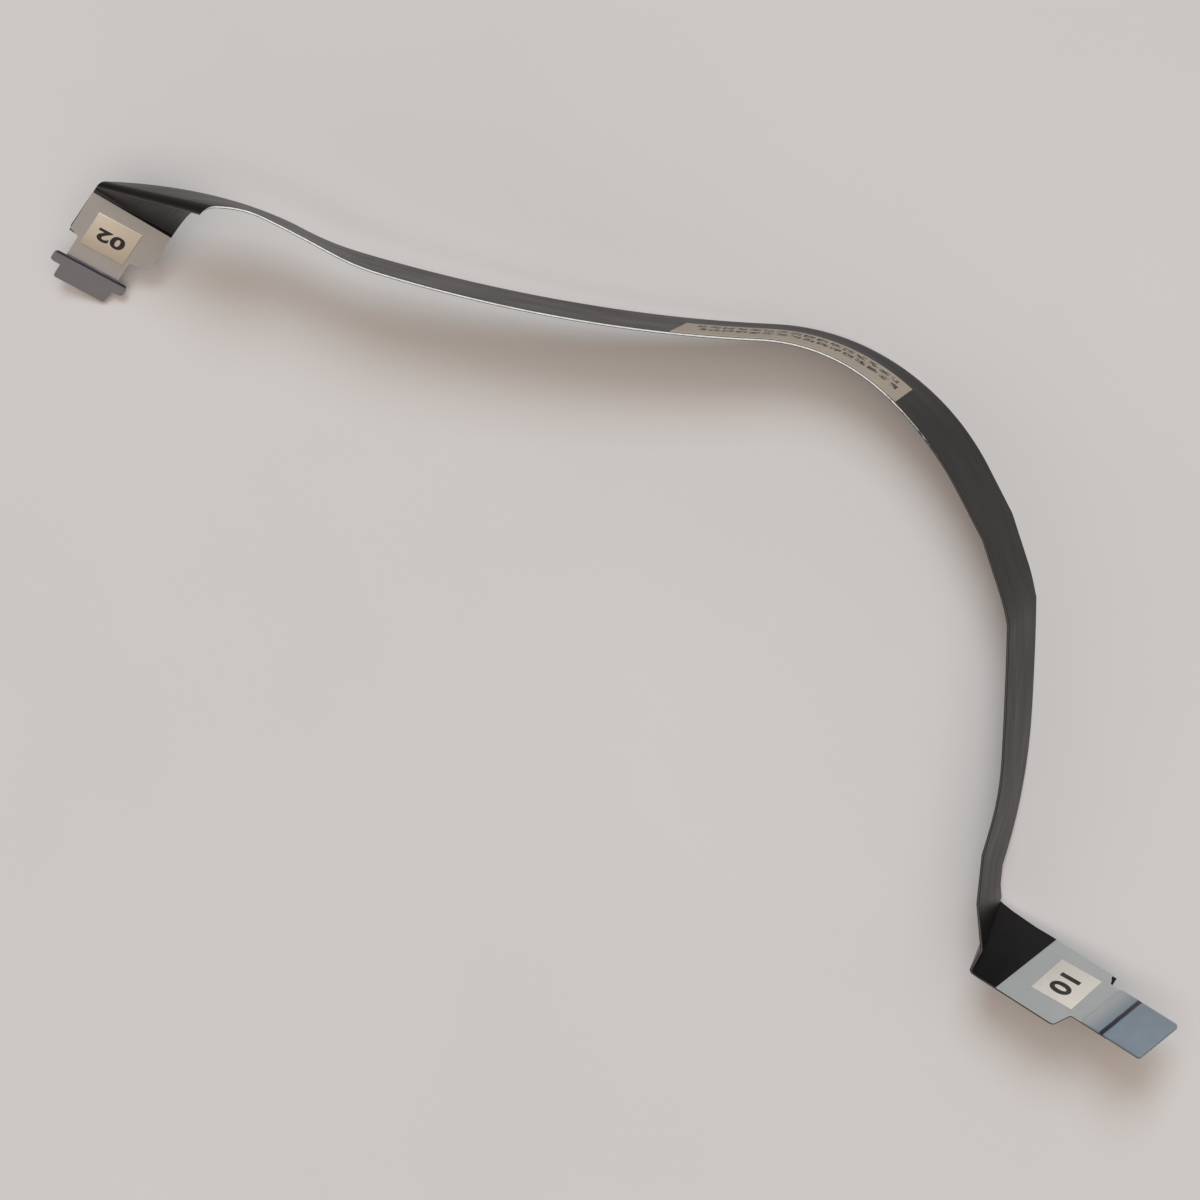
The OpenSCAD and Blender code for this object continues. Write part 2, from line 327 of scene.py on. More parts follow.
def corner(r, steps=8):
    """A quarter round of radius r, as pairs that fall short of its square corner."""
    angles = [math.radians(90 * i / steps) for i in range(steps + 1)]
    return [(r * (1 - math.cos(a)), r * (1 - math.sin(a))) for a in angles]


def tail_half(s):
    """Half the width of a tail: one pitch more than the conductors, shared by both sides."""
    return (s.conductor_n + 1) * s.pitch / 2


def tail_side(s):
    return s.tail_shift - tail_half(s), s.tail_shift + tail_half(s)


def shoulder_outline(s):
    """Outline of a tail's shoulders, as [distance from the tip, low side, high side]."""
    low, high = tail_side(s)
    edge, foot = s.width / 2, s.tail_l - s.shoulder_rake
    inner = [(foot - y, low - x, high + x) for x, y in corner(s.shoulder_r)]
    outer = [(s.tail_l + x, -edge + y, edge - y) for x, y in corner(s.shoulder_r)]
    return inner + outer


def tip_outline(s):
    low, high = tail_side(s)
    return [(x, low + y, high - y) for x, y in corner(s.tip_r)]


def tailed(fold, outline):
    """Stations of a film that has a tail of this outline at both ends."""
    end_a = [fold.station(*row) for row in outline]
    end_b = [fold.station(fold.length - at, low, high) for at, low, high in reversed(outline)]
    return end_a + fold.crease_stations(outline[-1][0], fold.length - outline[-1][0]) + end_b


def between(fold, start, end):
    """Stations of a strip that runs straight from one distance along the cable to another."""
    return [fold.station(start)] + fold.crease_stations(start, end) + [fold.station(end)]


# ---------------------------------------------------------------- nodes


def add_node(tree, kind, inputs=None, **settings):
    """Adds a node with its settings, and sets or links its inputs by name or number."""
    node = tree.nodes.new(kind)
    for key, value in settings.items():
        setattr(node, key, value)
    for key, value in (inputs or {}).items():
        socket = node.inputs[key]
        if isinstance(value, bpy.types.NodeSocket):
            tree.links.new(value, socket)
        else:
            socket.default_value = value
    return node


def calc(tree, operation, a, b=0.0):
    return add_node(tree, "ShaderNodeMath", {0: a, 1: b}, operation=operation).outputs[0]


def folded_strip_tree():
    """A rectangle swept along the folded stations, as many times side by side as asked."""
    found = bpy.data.node_groups.get("Folded Strip")
    if found:
        return found
    tree = bpy.data.node_groups.new("Folded Strip", "GeometryNodeTree")
    tree.is_modifier = True
    face = tree.interface
    face.new_socket("Geometry", in_out="OUTPUT", socket_type="NodeSocketGeometry")
    face.new_socket("Geometry", in_out="INPUT", socket_type="NodeSocketGeometry")
    for name in ("Low Side", "High Side", "Base", "Top", "Middle", "Spacing"):
        face.new_socket(name, in_out="INPUT", socket_type="NodeSocketFloat").subtype = "DISTANCE"
    face.new_socket("Copies", in_out="INPUT", socket_type="NodeSocketInt")
    face.new_socket("Material", in_out="INPUT", socket_type="NodeSocketMaterial")
    given = add_node(tree, "NodeGroupInput").outputs

    def vector(operation, a, b):
        return add_node(tree, "ShaderNodeVectorMath", {0: a, 1: b}, operation=operation).outputs[0]

    def stored(name, kind="FLOAT_VECTOR"):
        node = add_node(tree, "GeometryNodeInputNamedAttribute", {"Name": name}, data_type=kind)
        return node.outputs["Attribute"]

    def scaled(a, factor):
        return add_node(tree, "ShaderNodeVectorMath", {0: a, "Scale": factor}, operation="SCALE").outputs[0]

    # The cross section, drawn in the plane of [across, height]
    section = add_node(
        tree,
        "GeometryNodeCurvePrimitiveQuadrilateral",
        {
            "Width": calc(tree, "SUBTRACT", given["High Side"], given["Low Side"]),
            "Height": calc(tree, "SUBTRACT", given["Top"], given["Base"]),
        },
        mode="RECTANGLE",
    )
    centre = add_node(
        tree,
        "ShaderNodeCombineXYZ",
        {
            "X": calc(tree, "MULTIPLY", calc(tree, "ADD", given["Low Side"], given["High Side"]), 0.5),
            "Y": calc(tree, "MULTIPLY", calc(tree, "ADD", given["Base"], given["Top"]), 0.5),
        },
    )
    section = add_node(
        tree, "GeometryNodeTransform", {"Geometry": section.outputs[0], "Translation": centre.outputs[0]}
    )
    step = add_node(tree, "ShaderNodeCombineXYZ", {"X": given["Spacing"]})
    row = add_node(
        tree,
        "GeometryNodeMeshLine",
        {"Count": given["Copies"], "Offset": step.outputs[0]},
        mode="OFFSET",
        count_mode="TOTAL",
    )
    sections = add_node(
        tree, "GeometryNodeInstanceOnPoints", {"Points": row.outputs[0], "Instance": section.outputs[0]}
    )
    sections = add_node(tree, "GeometryNodeRealizeInstances", {"Geometry": sections.outputs[0]})
    kept = add_node(tree, "GeometryNodeCaptureAttribute", {"Geometry": sections.outputs[0]}, domain="POINT")
    kept.capture_items.new("VECTOR", "Section")
    place = add_node(tree, "GeometryNodeInputPosition")
    tree.links.new(place.outputs[0], kept.inputs["Section"])
    # The strip, first swept roughly for its faces and then moved to its true place on each station
    line = add_node(tree, "GeometryNodeMeshToCurve", {"Mesh": given["Geometry"]})
    strip = add_node(
        tree,
        "GeometryNodeCurveToMesh",
        {"Curve": line.outputs[0], "Profile Curve": kept.outputs["Geometry"], "Fill Caps": True},
    )
    parts = add_node(tree, "ShaderNodeSeparateXYZ", {0: kept.outputs["Section"]}).outputs
    side = calc(tree, "MAXIMUM", parts["X"], stored("low", "FLOAT"))
    side = calc(tree, "MINIMUM", side, stored("high", "FLOAT"))
    height = calc(tree, "SUBTRACT", parts["Y"], given["Middle"])
    place = vector("ADD", stored("spot"), scaled(stored("across"), side))
    place = vector("ADD", place, scaled(stored("through"), height))
    strip = add_node(tree, "GeometryNodeSetPosition", {"Geometry": strip.outputs[0], "Position": place})
    along = calc(tree, "ADD", stored("along", "FLOAT"), calc(tree, "MULTIPLY", stored("fan", "FLOAT"), side))
    flat = add_node(tree, "ShaderNodeCombineXYZ", {"X": along, "Y": side, "Z": parts["Y"]})
    strip = add_node(
        tree,
        "GeometryNodeStoreNamedAttribute",
        {"Geometry": strip.outputs[0], "Name": "flat", "Value": flat.outputs[0]},
        data_type="FLOAT_VECTOR",
        domain="POINT",
    )
    strip = add_node(tree, "GeometryNodeRealizeInstances", {"Geometry": strip.outputs[0]})
    strip = add_node(
        tree, "GeometryNodeSetMaterial", {"Geometry": strip.outputs[0], "Material": given["Material"]}
    )
    add_node(tree, "NodeGroupOutput", {0: strip.outputs[0]})
    return tree


def folded_strip(name, stations, fold, material, low, high, base, top, copies=1, spacing=0.0):
    """A plain mesh of one or more strips swept through the stations."""
    line = bpy.data.meshes.new(name + "_line")
    # The sweep only needs a line with no doubled points, because each point is placed again
    count = len(stations)
    line.from_pydata([(0, 0, i * MM) for i in range(count)], [(i, i + 1) for i in range(count - 1)], [])
    for key in ("spot", "across", "through"):
        values = line.attributes.new(key, "FLOAT_VECTOR", "POINT")
        values.data.foreach_set("vector", [x for s in stations for x in s[key]])
    for key in ("along", "fan", "low", "high"):
        values = line.attributes.new(key, "FLOAT", "POINT")
        values.data.foreach_set("value", [s[key] for s in stations])
    maker = bpy.data.objects.new(name + "_maker", line)
    bpy.context.scene.collection.objects.link(maker)
    tree = folded_strip_tree()
    modifier = maker.modifiers.new("Folded Strip", "NODES")
    modifier.node_group = tree
    wanted = {
        "Low Side": low,
        "High Side": high,
        "Base": base,
        "Top": top,
        "Middle": fold.middle,
        "Copies": copies,
        "Spacing": spacing,
        "Material": material,
    }
    for item in tree.interface.items_tree:
        if item.in_out == "INPUT" and item.name in wanted:
            modifier[item.identifier] = wanted[item.name]
    graph = bpy.context.evaluated_depsgraph_get()
    mesh = bpy.data.meshes.new_from_object(maker.evaluated_get(graph))
    maker.modifiers.remove(modifier)
    bpy.data.objects.remove(maker)
    bpy.data.meshes.remove(line)
    mesh.name = name
    if len(mesh.polygons) == 0:
        raise RuntimeError(f"{name} came out empty")
    for key in ("spot", "across", "through", "along", "fan", "low", "high"):
        if key in mesh.attributes:
            mesh.attributes.remove(mesh.attributes[key])
    return finished(name, mesh)


def finished(name, mesh):
    """Faces outwards, soft along the strip and crisp at its edges, and shown at the origin."""
    shape = bmesh.new()
    shape.from_mesh(mesh)
    bmesh.ops.recalc_face_normals(shape, faces=shape.faces)
    shape.to_mesh(mesh)
    shape.free()
    mesh.shade_smooth()
    mesh.set_sharp_from_angle(angle=SHARP_EDGE)
    piece = bpy.data.objects.new(name, mesh)
    bpy.context.scene.collection.objects.link(piece)
    return piece


def flat_piece(name, outline, thickness, place, origin, direction, material, bevel=0.0):
    """A flat outline, as [across, distance from the tip], made a plate on the flat panel of an end."""
    shape = bmesh.new()
    bottom = shape.faces.new([shape.verts.new((x, y, 0)) for x, y in outline])
    grown = bmesh.ops.extrude_face_region(shape, geom=[bottom])
    for part in grown["geom"]:
        if isinstance(part, bmesh.types.BMVert):
            part.co.z += thickness
    if bevel:
        rim = [e for e in shape.edges if e.is_manifold and e.calc_face_angle(0) > math.radians(60)]
        bmesh.ops.bevel(shape, geom=rim, offset=bevel, segments=2, profile=0.5, affect="EDGES")
    mesh = bpy.data.meshes.new(name)
    shape.to_mesh(mesh)
    shape.free()
    # Each point keeps its flat place, measured as on the films
    flat = mesh.attributes.new("flat", "FLOAT_VECTOR", "POINT")
    places = [(origin + direction * v.co.y, v.co.x, v.co.z) for v in mesh.vertices]
    flat.data.foreach_set("vector", [x for p in places for x in p])
    mesh.transform(place)
    mesh.materials.append(material)
    return finished(name, mesh)


# ---------------------------------------------------------------- materials


def start_material(name, **sockets):
    """A material with a Principled shader, whose uniform values sit on the shader's own sockets."""
    material = bpy.data.materials.new(name)
    material.use_nodes = True
    tree = material.node_tree
    tree.nodes.clear()
    shader = add_node(tree, "ShaderNodeBsdfPrincipled", {k.replace("_", " "): v for k, v in sockets.items()})
    add_node(tree, "ShaderNodeOutputMaterial", {"Surface": shader.outputs[0]})
    return material, tree, shader


def drive(tree, shader, **values):
    """Links values to the shader's sockets."""
    for name, value in values.items():
        tree.links.new(value, shader.inputs[name.replace("_", " ")])


def flat_place(tree):
    """The flat place of a point, in millimetres, as along, across and height."""
    flat = add_node(tree, "ShaderNodeAttribute", attribute_name="flat").outputs["Vector"]
    mm = add_node(tree, "ShaderNodeVectorMath", {0: flat, "Scale": 1 / MM}, operation="SCALE").outputs[0]
    return mm, add_node(tree, "ShaderNodeSeparateXYZ", {0: mm}).outputs


def noise(tree, place, stretch, detail=3.0):
    """Noise on the flat film, with this many patches to a millimetre along, across and through it."""
    mapped = add_node(tree, "ShaderNodeMapping", {"Vector": place, "Scale": stretch}).outputs[0]
    inputs = {"Vector": mapped, "Scale": 1.0, "Detail": detail}
    return add_node(tree, "ShaderNodeTexNoise", inputs).outputs["Fac"]


def ramp(tree, value, low=0.3, high=0.7, from_value=0.0, to_value=1.0, smooth=False):
    """The value's way from low to high, taken to another range; noise lies mostly within 0.3 to 0.7."""
    node = add_node(
        tree,
        "ShaderNodeMapRange",
        {"Value": value, "From Min": low, "From Max": high, "To Min": from_value, "To Max": to_value},
        interpolation_type="SMOOTHSTEP" if smooth else "LINEAR",
    )
    return node.outputs["Result"]


def mixed(tree, factor, a, b):
    node = add_node(tree, "ShaderNodeMix", {"Factor": factor}, data_type="RGBA")
    for socket, value in zip((s for s in node.inputs if s.type == "RGBA"), (a, b)):
        if isinstance(value, bpy.types.NodeSocket):
            tree.links.new(value, socket)
        else:
            socket.default_value = (*value[:3], 1)
    return next(s for s in node.outputs if s.type == "RGBA")


def weighed(tree, *terms):
    """The sum of values, each given with its weight."""
    parts = [calc(tree, "MULTIPLY", value, weight) for value, weight in terms]
    total = parts[0]
    for part in parts[1:]:
        total = calc(tree, "ADD", total, part)
    return total


def shaded(colour, factor):
    return tuple(min(1.0, c * factor) for c in colour[:3])


def bumped(tree, shader, height, depth=RELIEF):
    bump = add_node(tree, "ShaderNodeBump", {"Strength": 1.0, "Distance": depth, "Height": height})
    drive(tree, shader, Normal=bump.outputs[0])


def conductor_ridges(tree, across, s):
    """1 over each conductor and 0 between them: the film is drawn down a little in the gaps."""
    pitch, shift = s.pitch / MM, s.tail_shift / MM
    turns = calc(tree, "MULTIPLY", calc(tree, "SUBTRACT", across, shift + pitch / 2), 2 * math.pi / pitch)
    off_middle = calc(tree, "ABSOLUTE", calc(tree, "SUBTRACT", across, shift))
    inside = calc(tree, "LESS_THAN", off_middle, s.conductor_n * pitch / 2)
    return calc(tree, "MULTIPLY", ramp(tree, calc(tree, "COSINE", turns), -1, 1), inside)


def black_polyester(name, colour, s):
    """Black printed polyester tape: a satin gloss that greys at a low angle, with faint lengthwise
    ridges where the conductors lie under it, and a haze of fine handling marks."""
    material, tree, shader = start_material(name, IOR=1.3, Specular_Tint=(1.0, 0.87, 0.83, 1))
    place, flat = flat_place(tree)
    cloud = noise(tree, place, (0.12, 0.5, 1), 4)
    streak = noise(tree, place, (0.25, 9, 1))
    wave = noise(tree, place, (0.16, 0.3, 1), 2)
    colours = mixed(tree, ramp(tree, cloud), shaded(colour, 0.85), shaded(colour, 1.25))
    rough = calc(tree, "ADD", ramp(tree, cloud, 0.3, 0.7, 0.3, 0.4), ramp(tree, streak, 0.35, 0.7, 0.0, 0.08))
    drive(tree, shader, Base_Color=colours, Roughness=rough)
    ridges = conductor_ridges(tree, flat["Y"], s)
    bumped(tree, shader, weighed(tree, (wave, 6.0), (ridges, 0.35), (streak, 0.3)))
    return material


def clear_polyester(name, colour_a, warm_lit_colour_b, middle, s):
    """Pale polyester insulation: smooth and milky, a trace greyer over each conductor."""
    material, tree, shader = start_material(name, IOR=1.57)
    place, flat = flat_place(tree)
    ridges = conductor_ridges(tree, flat["Y"], s)
    cloud = noise(tree, place, (0.4, 0.4, 1), 4)
    tone = weighed(tree, (ridges, 0.12), (cloud, 0.8))
    # Past the middle the film takes the warmer colour b: painted warm light on end b
    at_end_b = calc(tree, "GREATER_THAN", flat["X"], middle / MM)
    light, dark = [mixed(tree, at_end_b, shaded(colour_a, f), shaded(warm_lit_colour_b, f)) for f in (1.05, 0.94)]
    drive(
        tree,
        shader,
        Base_Color=mixed(tree, ramp(tree, tone, 0.2, 0.8), light, dark),
        Roughness=ramp(tree, cloud, 0.3, 0.7, 0.34, 0.46),
    )
    bumped(tree, shader, weighed(tree, (ridges, 0.2), (cloud, 2.0)), 0.004 * MM)
    return material


def cut_polyester(name, colour, shade_glue_colour, bright_from, bright_to):
    """The knife-cut edge of the white films: matte and uneven, bright on one stretch and painted
    dark elsewhere, as painted shade with some dark glue."""
    material, tree, shader = start_material(name, IOR=1.57, Roughness=0.6)
    place, flat = flat_place(tree)
    nicks = noise(tree, place, (2.5, 2.5, 8), 4)
    ragged = calc(tree, "MULTIPLY", calc(tree, "SUBTRACT", nicks, 0.5), 12.0)
    along = calc(tree, "ADD", flat["X"], ragged)
    start, end, inner, outer = bright_from / MM, bright_to / MM, 4, 2  # mm over which the painted shade fades
    # Outside the bright stretch the edge is painted dark: painted shade, with some dark glue
    after = ramp(tree, along, start - outer, start + inner)
    before = ramp(tree, along, end - inner, end + outer, 1.0, 0.0)
    bright = mixed(tree, ramp(tree, nicks), shaded(colour, 0.7), colour)
    drive(tree, shader, Base_Color=mixed(tree, calc(tree, "MULTIPLY", after, before), shade_glue_colour, bright))
    bumped(tree, shader, nicks, 0.01 * MM)
    return material


def stiffener_polyester(name, colour, line, line_at, line_w, film=None, fade_to=None):
    """Dyed polyester stiffener: satin, with a dark line across it that is painted shade where the film under
    it ends.
    """
    material, tree, shader = start_material(name, IOR=1.57)
    place, flat = flat_place(tree)
    cloud = noise(tree, place, (0.8, 0.8, 1), 4)
    body = mixed(tree, ramp(tree, cloud), shaded(colour, 0.95), shaded(colour, 1.06))
    if film is not None:
        # Towards the cable the dye thins out, until only the film's own colour shows
        body = mixed(tree, ramp(tree, flat["X"], line_at, fade_to, smooth=True), body, film)
    # The dark line is painted shade, cast where the film seen through the stiffener ends
    wander = calc(tree, "MULTIPLY", calc(tree, "SUBTRACT", noise(tree, place, (0.1, 0.9, 1)), 0.5), 0.1)
    off = calc(tree, "ABSOLUTE", calc(tree, "ADD", calc(tree, "SUBTRACT", flat["X"], line_at), wander))
    dark = ramp(tree, off, line_w * 0.32, line_w * 0.68, 1.0, 0.0, smooth=True)
    rough = ramp(tree, cloud, 0.3, 0.7, 0.33, 0.42)
    drive(tree, shader, Base_Color=mixed(tree, dark, body, line), Roughness=rough)
    bumped(tree, shader, cloud)
    return material


def label_paper(name, colour, grain_mm=0.12):
    """Coated label paper: matte, with fine fibres and faint stains."""
    material, tree, shader = start_material(name, IOR=1.5, Roughness=0.72)
    place, flat = flat_place(tree)
    fibres = noise(tree, place, (1 / grain_mm, 1 / grain_mm, 1))
    stains = noise(tree, place, (0.35, 0.35, 1), 4)
    tone = weighed(tree, (fibres, 0.4), (stains, 0.6))
    body = mixed(tree, ramp(tree, tone, 0.35, 0.65), shaded(colour, 0.93), shaded(colour, 1.03))
    drive(tree, shader, Base_Color=body)
    bumped(tree, shader, fibres)
    return material, tree, shader, place, flat, body


def marked_paper(name, colour, ink, s):
    """The long label's paper, with two rows of small dark marks that stand for print."""
    material, tree, shader, place, flat, body = label_paper(name, colour)
    low = (-s.width / 2 + s.long_label_margin) / MM
    start = s.long_label_at / MM
    mark, height = 1.25, 1.0  # mm from one mark to the next, and a mark's height
    dots_n = 5  # dots to a mark, each way
    total = None
    # Each row has its middle above the label's near side, and its start and end along the label
    for row, (middle, first, last) in enumerate(((4.1, 1.2, 20.6), (2.6, 0.9, 20.0))):
        across = calc(tree, "SUBTRACT", flat["Y"], low + middle)
        along = calc(tree, "ADD", flat["X"], row * 0.37)
        spot = add_node(tree, "ShaderNodeCombineXYZ", {"X": along, "Y": across, "Z": float(row)}).outputs[0]
        step = (mark / dots_n, height / dots_n, 1.0)
        dots = add_node(tree, "ShaderNodeVectorMath", {0: spot, 1: step}, operation="SNAP").outputs[0]
        chance = add_node(tree, "ShaderNodeTexWhiteNoise", {"Vector": dots}, noise_dimensions="3D")
        dark = calc(tree, "LESS_THAN", chance.outputs["Value"], 0.66)
        gap = calc(tree, "FRACT", calc(tree, "DIVIDE", along, mark))
        for operation, value, limit in (
            ("LESS_THAN", gap, 0.8),
            ("LESS_THAN", calc(tree, "ABSOLUTE", across), height / 2),
            ("GREATER_THAN", flat["X"], start + first),
            ("LESS_THAN", flat["X"], start + last),
        ):
            dark = calc(tree, "MULTIPLY", dark, calc(tree, operation, value, limit))
        total = dark if total is None else calc(tree, "MAXIMUM", total, dark)
    worn = ramp(tree, noise(tree, place, (0.9, 1.2, 1)), 0.35, 0.65, 0.75, 1.0)
    drive(tree, shader, Base_Color=mixed(tree, calc(tree, "MULTIPLY", total, worn), body, ink))
    return material


def printing_ink(name, colour):
    """Thermal print: dull black, a little thin in places."""
    material, tree, shader = start_material(name, IOR=1.5, Roughness=0.6)
    place = add_node(tree, "ShaderNodeTexCoord").outputs["Object"]
    worn = add_node(tree, "ShaderNodeTexNoise", {"Vector": place, "Scale": 2600.0, "Detail": 3.0})
    thin = ramp(tree, worn.outputs["Fac"], 0.45, 0.8)
    drive(tree, shader, Base_Color=mixed(tree, thin, colour, shaded(colour, 3.0)))
    return material


def tinned_copper(name, colour):
    """Rolled flat copper with a dull tin plating: soft metallic glints along its length."""
    material, tree, shader = start_material(name, Metallic=1.0)
    place, _ = flat_place(tree)
    rolled = noise(tree, place, (0.5, 30, 1))
    colours = mixed(tree, ramp(tree, rolled), shaded(colour, 0.88), colour)
    drive(tree, shader, Base_Color=colours, Roughness=ramp(tree, rolled, 0.3, 0.7, 0.26, 0.42))
    bumped(tree, shader, rolled, 0.003 * MM)
    return material


def painted_table(name, colour):
    """A pale painted table top: matte, with very soft clouding."""
    material, tree, shader = start_material(name, IOR=1.45, Roughness=0.85, Specular_IOR_Level=0.2)
    place = add_node(tree, "ShaderNodeTexCoord").outputs["Object"]
    cloud = add_node(tree, "ShaderNodeTexNoise", {"Vector": place, "Scale": 22.0, "Detail": 4.0})
    tone = ramp(tree, cloud.outputs["Fac"])
    drive(tree, shader, Base_Color=mixed(tree, tone, shaded(colour, 0.985), shaded(colour, 1.015)))
    return material


# ---------------------------------------------------------------- operators


def settings():
    scene = bpy.context.scene
    return scene.flex_cable_sizes, scene.flex_cable_colours, scene.flex_cable_stage


def layers(s):
    """Heights from the back face: back cover top, conductor base, film top, front cover top."""
    back = s.cover_t
    base = back + s.back_film_t
    film = base + s.front_film_t
    return back, base, film, film + s.cover_t


def stands_for(piece, slot, *nodes):
    """The piece rides with the part and hides the plain CAD nodes; slot is not used."""
    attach(piece, BODY)
    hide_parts(*nodes)


def mark_cut_edges(piece, material):
    """Gives the narrow side faces of a film the look of a cut edge."""
    piece.data.materials.append(material)
    flat = piece.data.attributes["flat"].data
    for face in piece.data.polygons:
        heights = [flat[i].vector[2] for i in face.vertices]
        if max(heights) - min(heights) > SMALLEST:
            face.material_index = 1


class FLEXCABLE_OT_stage(bpy.types.Operator):
    """Adds the table, the room and window light, and the camera"""

    bl_idname = "flexcable.stage"
    bl_label = "Table, Light and Camera"

    def execute(self, context):
        _, _, stage = settings()
        scene = context.scene
        camera = bpy.data.objects.new("Camera", bpy.data.cameras.new("Camera"))
        scene.collection.objects.link(camera)
        camera.data.lens = stage.lens
        camera.data.clip_start, camera.data.clip_end = 0.01, 20
        camera.location = CAMERA_PLACE
        camera.rotation_euler = [math.radians(a) for a in CAMERA_TURN]
        scene.camera = camera
        mesh = bpy.data.meshes.new("table_top")
        corners = [(x * TABLE_REACH, y * TABLE_REACH, 0) for x, y in ((-1, -1), (1, -1), (1, 1), (-1, 1))]
        mesh.from_pydata(corners, [], [(0, 1, 2, 3)])
        mesh.materials.append(painted_table("Painted Table", stage.floor))
        table = bpy.data.objects.new("table_top", mesh)
        scene.collection.objects.link(table)
        # A sun of strength pi, square to a white surface, makes it render as white
        near_power = stage.near_share * math.pi / TO_CAMERA.z
        for name, power, colour, spread, towards in (
            ("Window Light", stage.lamp_power, stage.lamp, stage.lamp_spread, TO_WINDOW),
            ("Near Light", near_power, stage.sky, stage.near_spread, TO_CAMERA),
        ):
            sun = bpy.data.lights.new(name, "SUN")
            sun.energy, sun.color, sun.angle = power, colour, spread
            lamp = bpy.data.objects.new(name, sun)
            scene.collection.objects.link(lamp)
            lamp.rotation_euler = towards.to_track_quat("Z", "Y").to_euler()
        world = bpy.data.worlds.new("Room Light")
        world.use_nodes = True
        world.node_tree.nodes.clear()
        glow = {"Color": (*stage.sky, 1), "Strength": 1 - stage.near_share}
        light = add_node(world.node_tree, "ShaderNodeBackground", glow)
        add_node(world.node_tree, "ShaderNodeOutputWorld", {"Surface": light.outputs[0]})
        scene.world = world
        scene.view_settings.view_transform = "Standard"
        return {"FINISHED"}


class FLEXCABLE_OT_films(bpy.types.Operator):
    """Adds the two insulation films, with their tails, shoulders and cut edges, bright on one stretch and
    painted dark elsewhere as painted shade
    """

    bl_idname = "flexcable.films"
    bl_label = "Insulation Films"

    def execute(self, context):
        s, colours, _ = settings()
        fold = Fold(s)
        back, base, film, _ = layers(s)
        edge = s.width / 2
        pale = clear_polyester("Pale Polyester", colours.film_a, colours.film_b_warm_lit, fold.length / 2, s)
        # The cut edges are bright on one stretch and painted dark elsewhere, as painted shade with some dark
        # glue
        cut = cut_polyester("Cut Polyester", colours.cut, colours.cut_shade_and_glue, s.bright_from, s.bright_to)
        shoulders = shoulder_outline(s)
        low, high = tail_side(s)
        outline = tip_outline(s) + shoulders
        front = folded_strip("insulation_front", tailed(fold, outline), fold, pale, -edge, edge, base, film)
        mark_cut_edges(front, cut)
        stands_for(front, "film_light", "top_insulation")
        outline = [(s.bare_l, low, high)] + shoulders
        rear = folded_strip("insulation_back", tailed(fold, outline), fold, pale, -edge, edge, back, base)
        mark_cut_edges(rear, cut)
        stands_for(rear, "film_white", "bottom_insulation")
        return {"FINISHED"}


class FLEXCABLE_OT_conductors(bpy.types.Operator):
    """Adds the row of flat conductors, bare on the back of both tails"""

    bl_idname = "flexcable.conductors"
    bl_label = "Conductors"

    def execute(self, context):
        s, colours, _ = settings()
        fold = Fold(s)
        _, base, _, _ = layers(s)
        first = s.tail_shift - (s.conductor_n - 1) * s.pitch / 2
        # They stand a hair proud of the film's back and of its tips, so that the metal shows
        proud = 0.004 * MM
        piece = folded_strip(
            "conductors",
            between(fold, -proud, fold.length + proud),
            fold,
            tinned_copper("Tinned Copper", colours.metal),
            first - s.conductor_w / 2,
            first + s.conductor_w / 2,
            base - proud,
            base + s.conductor_t,
            copies=s.conductor_n,
            spacing=s.pitch,
        )
        nodes = sorted(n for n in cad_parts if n.startswith("conductor_"))
        stands_for(piece, "tinned_copper", *nodes)
        return {"FINISHED"}


class FLEXCABLE_OT_covers(bpy.types.Operator):
    """Adds the black cover films on both faces"""

    bl_idname = "flexcable.covers"
    bl_label = "Black Covers"

    def execute(self, context):
        s, colours, _ = settings()
        fold = Fold(s)
        back, _, film, top = layers(s)
        edge = s.width / 2
        black = black_polyester("Black Polyester", colours.cover, s)
        stations = between(fold, s.light_a_l, fold.length - s.light_b_l)
        front = folded_strip("cover_front_film", stations, fold, black, -edge, edge, film, top)
        stands_for(front, "cover_black", "cover_front")
        # The back cover shows past the far shoulder, as a bar along it, and at the far edge of end b
        _, high = tail_side(s)
        slope = s.shoulder_rake / (edge - high)
        bar = s.tail_l - s.shoulder_rake - s.back_cover_lap - slope * high
        bars = (bar, bar + 2 * s.back_cover_lap)
        start = s.tail_l + s.shoulder_r
        stations = (
            [fold.station(at, high, edge, slope) for at in bars]
            + between(fold, start, fold.length - start)
            + [fold.station(fold.length - at, high, edge, -slope) for at in reversed(bars)]
        )
        for station in stations[2:-2]:
            at_end_b = station["along"] > fold.length - s.light_b_l
            station["high"] = edge + (s.back_cover_side if at_end_b else 0.0)
        wide = edge + s.back_cover_side
        rear = folded_strip("cover_back_film", stations, fold, black, -edge, wide, 0.0, back)
        stands_for(rear, "cover_black", "cover_back")
        return {"FINISHED"}


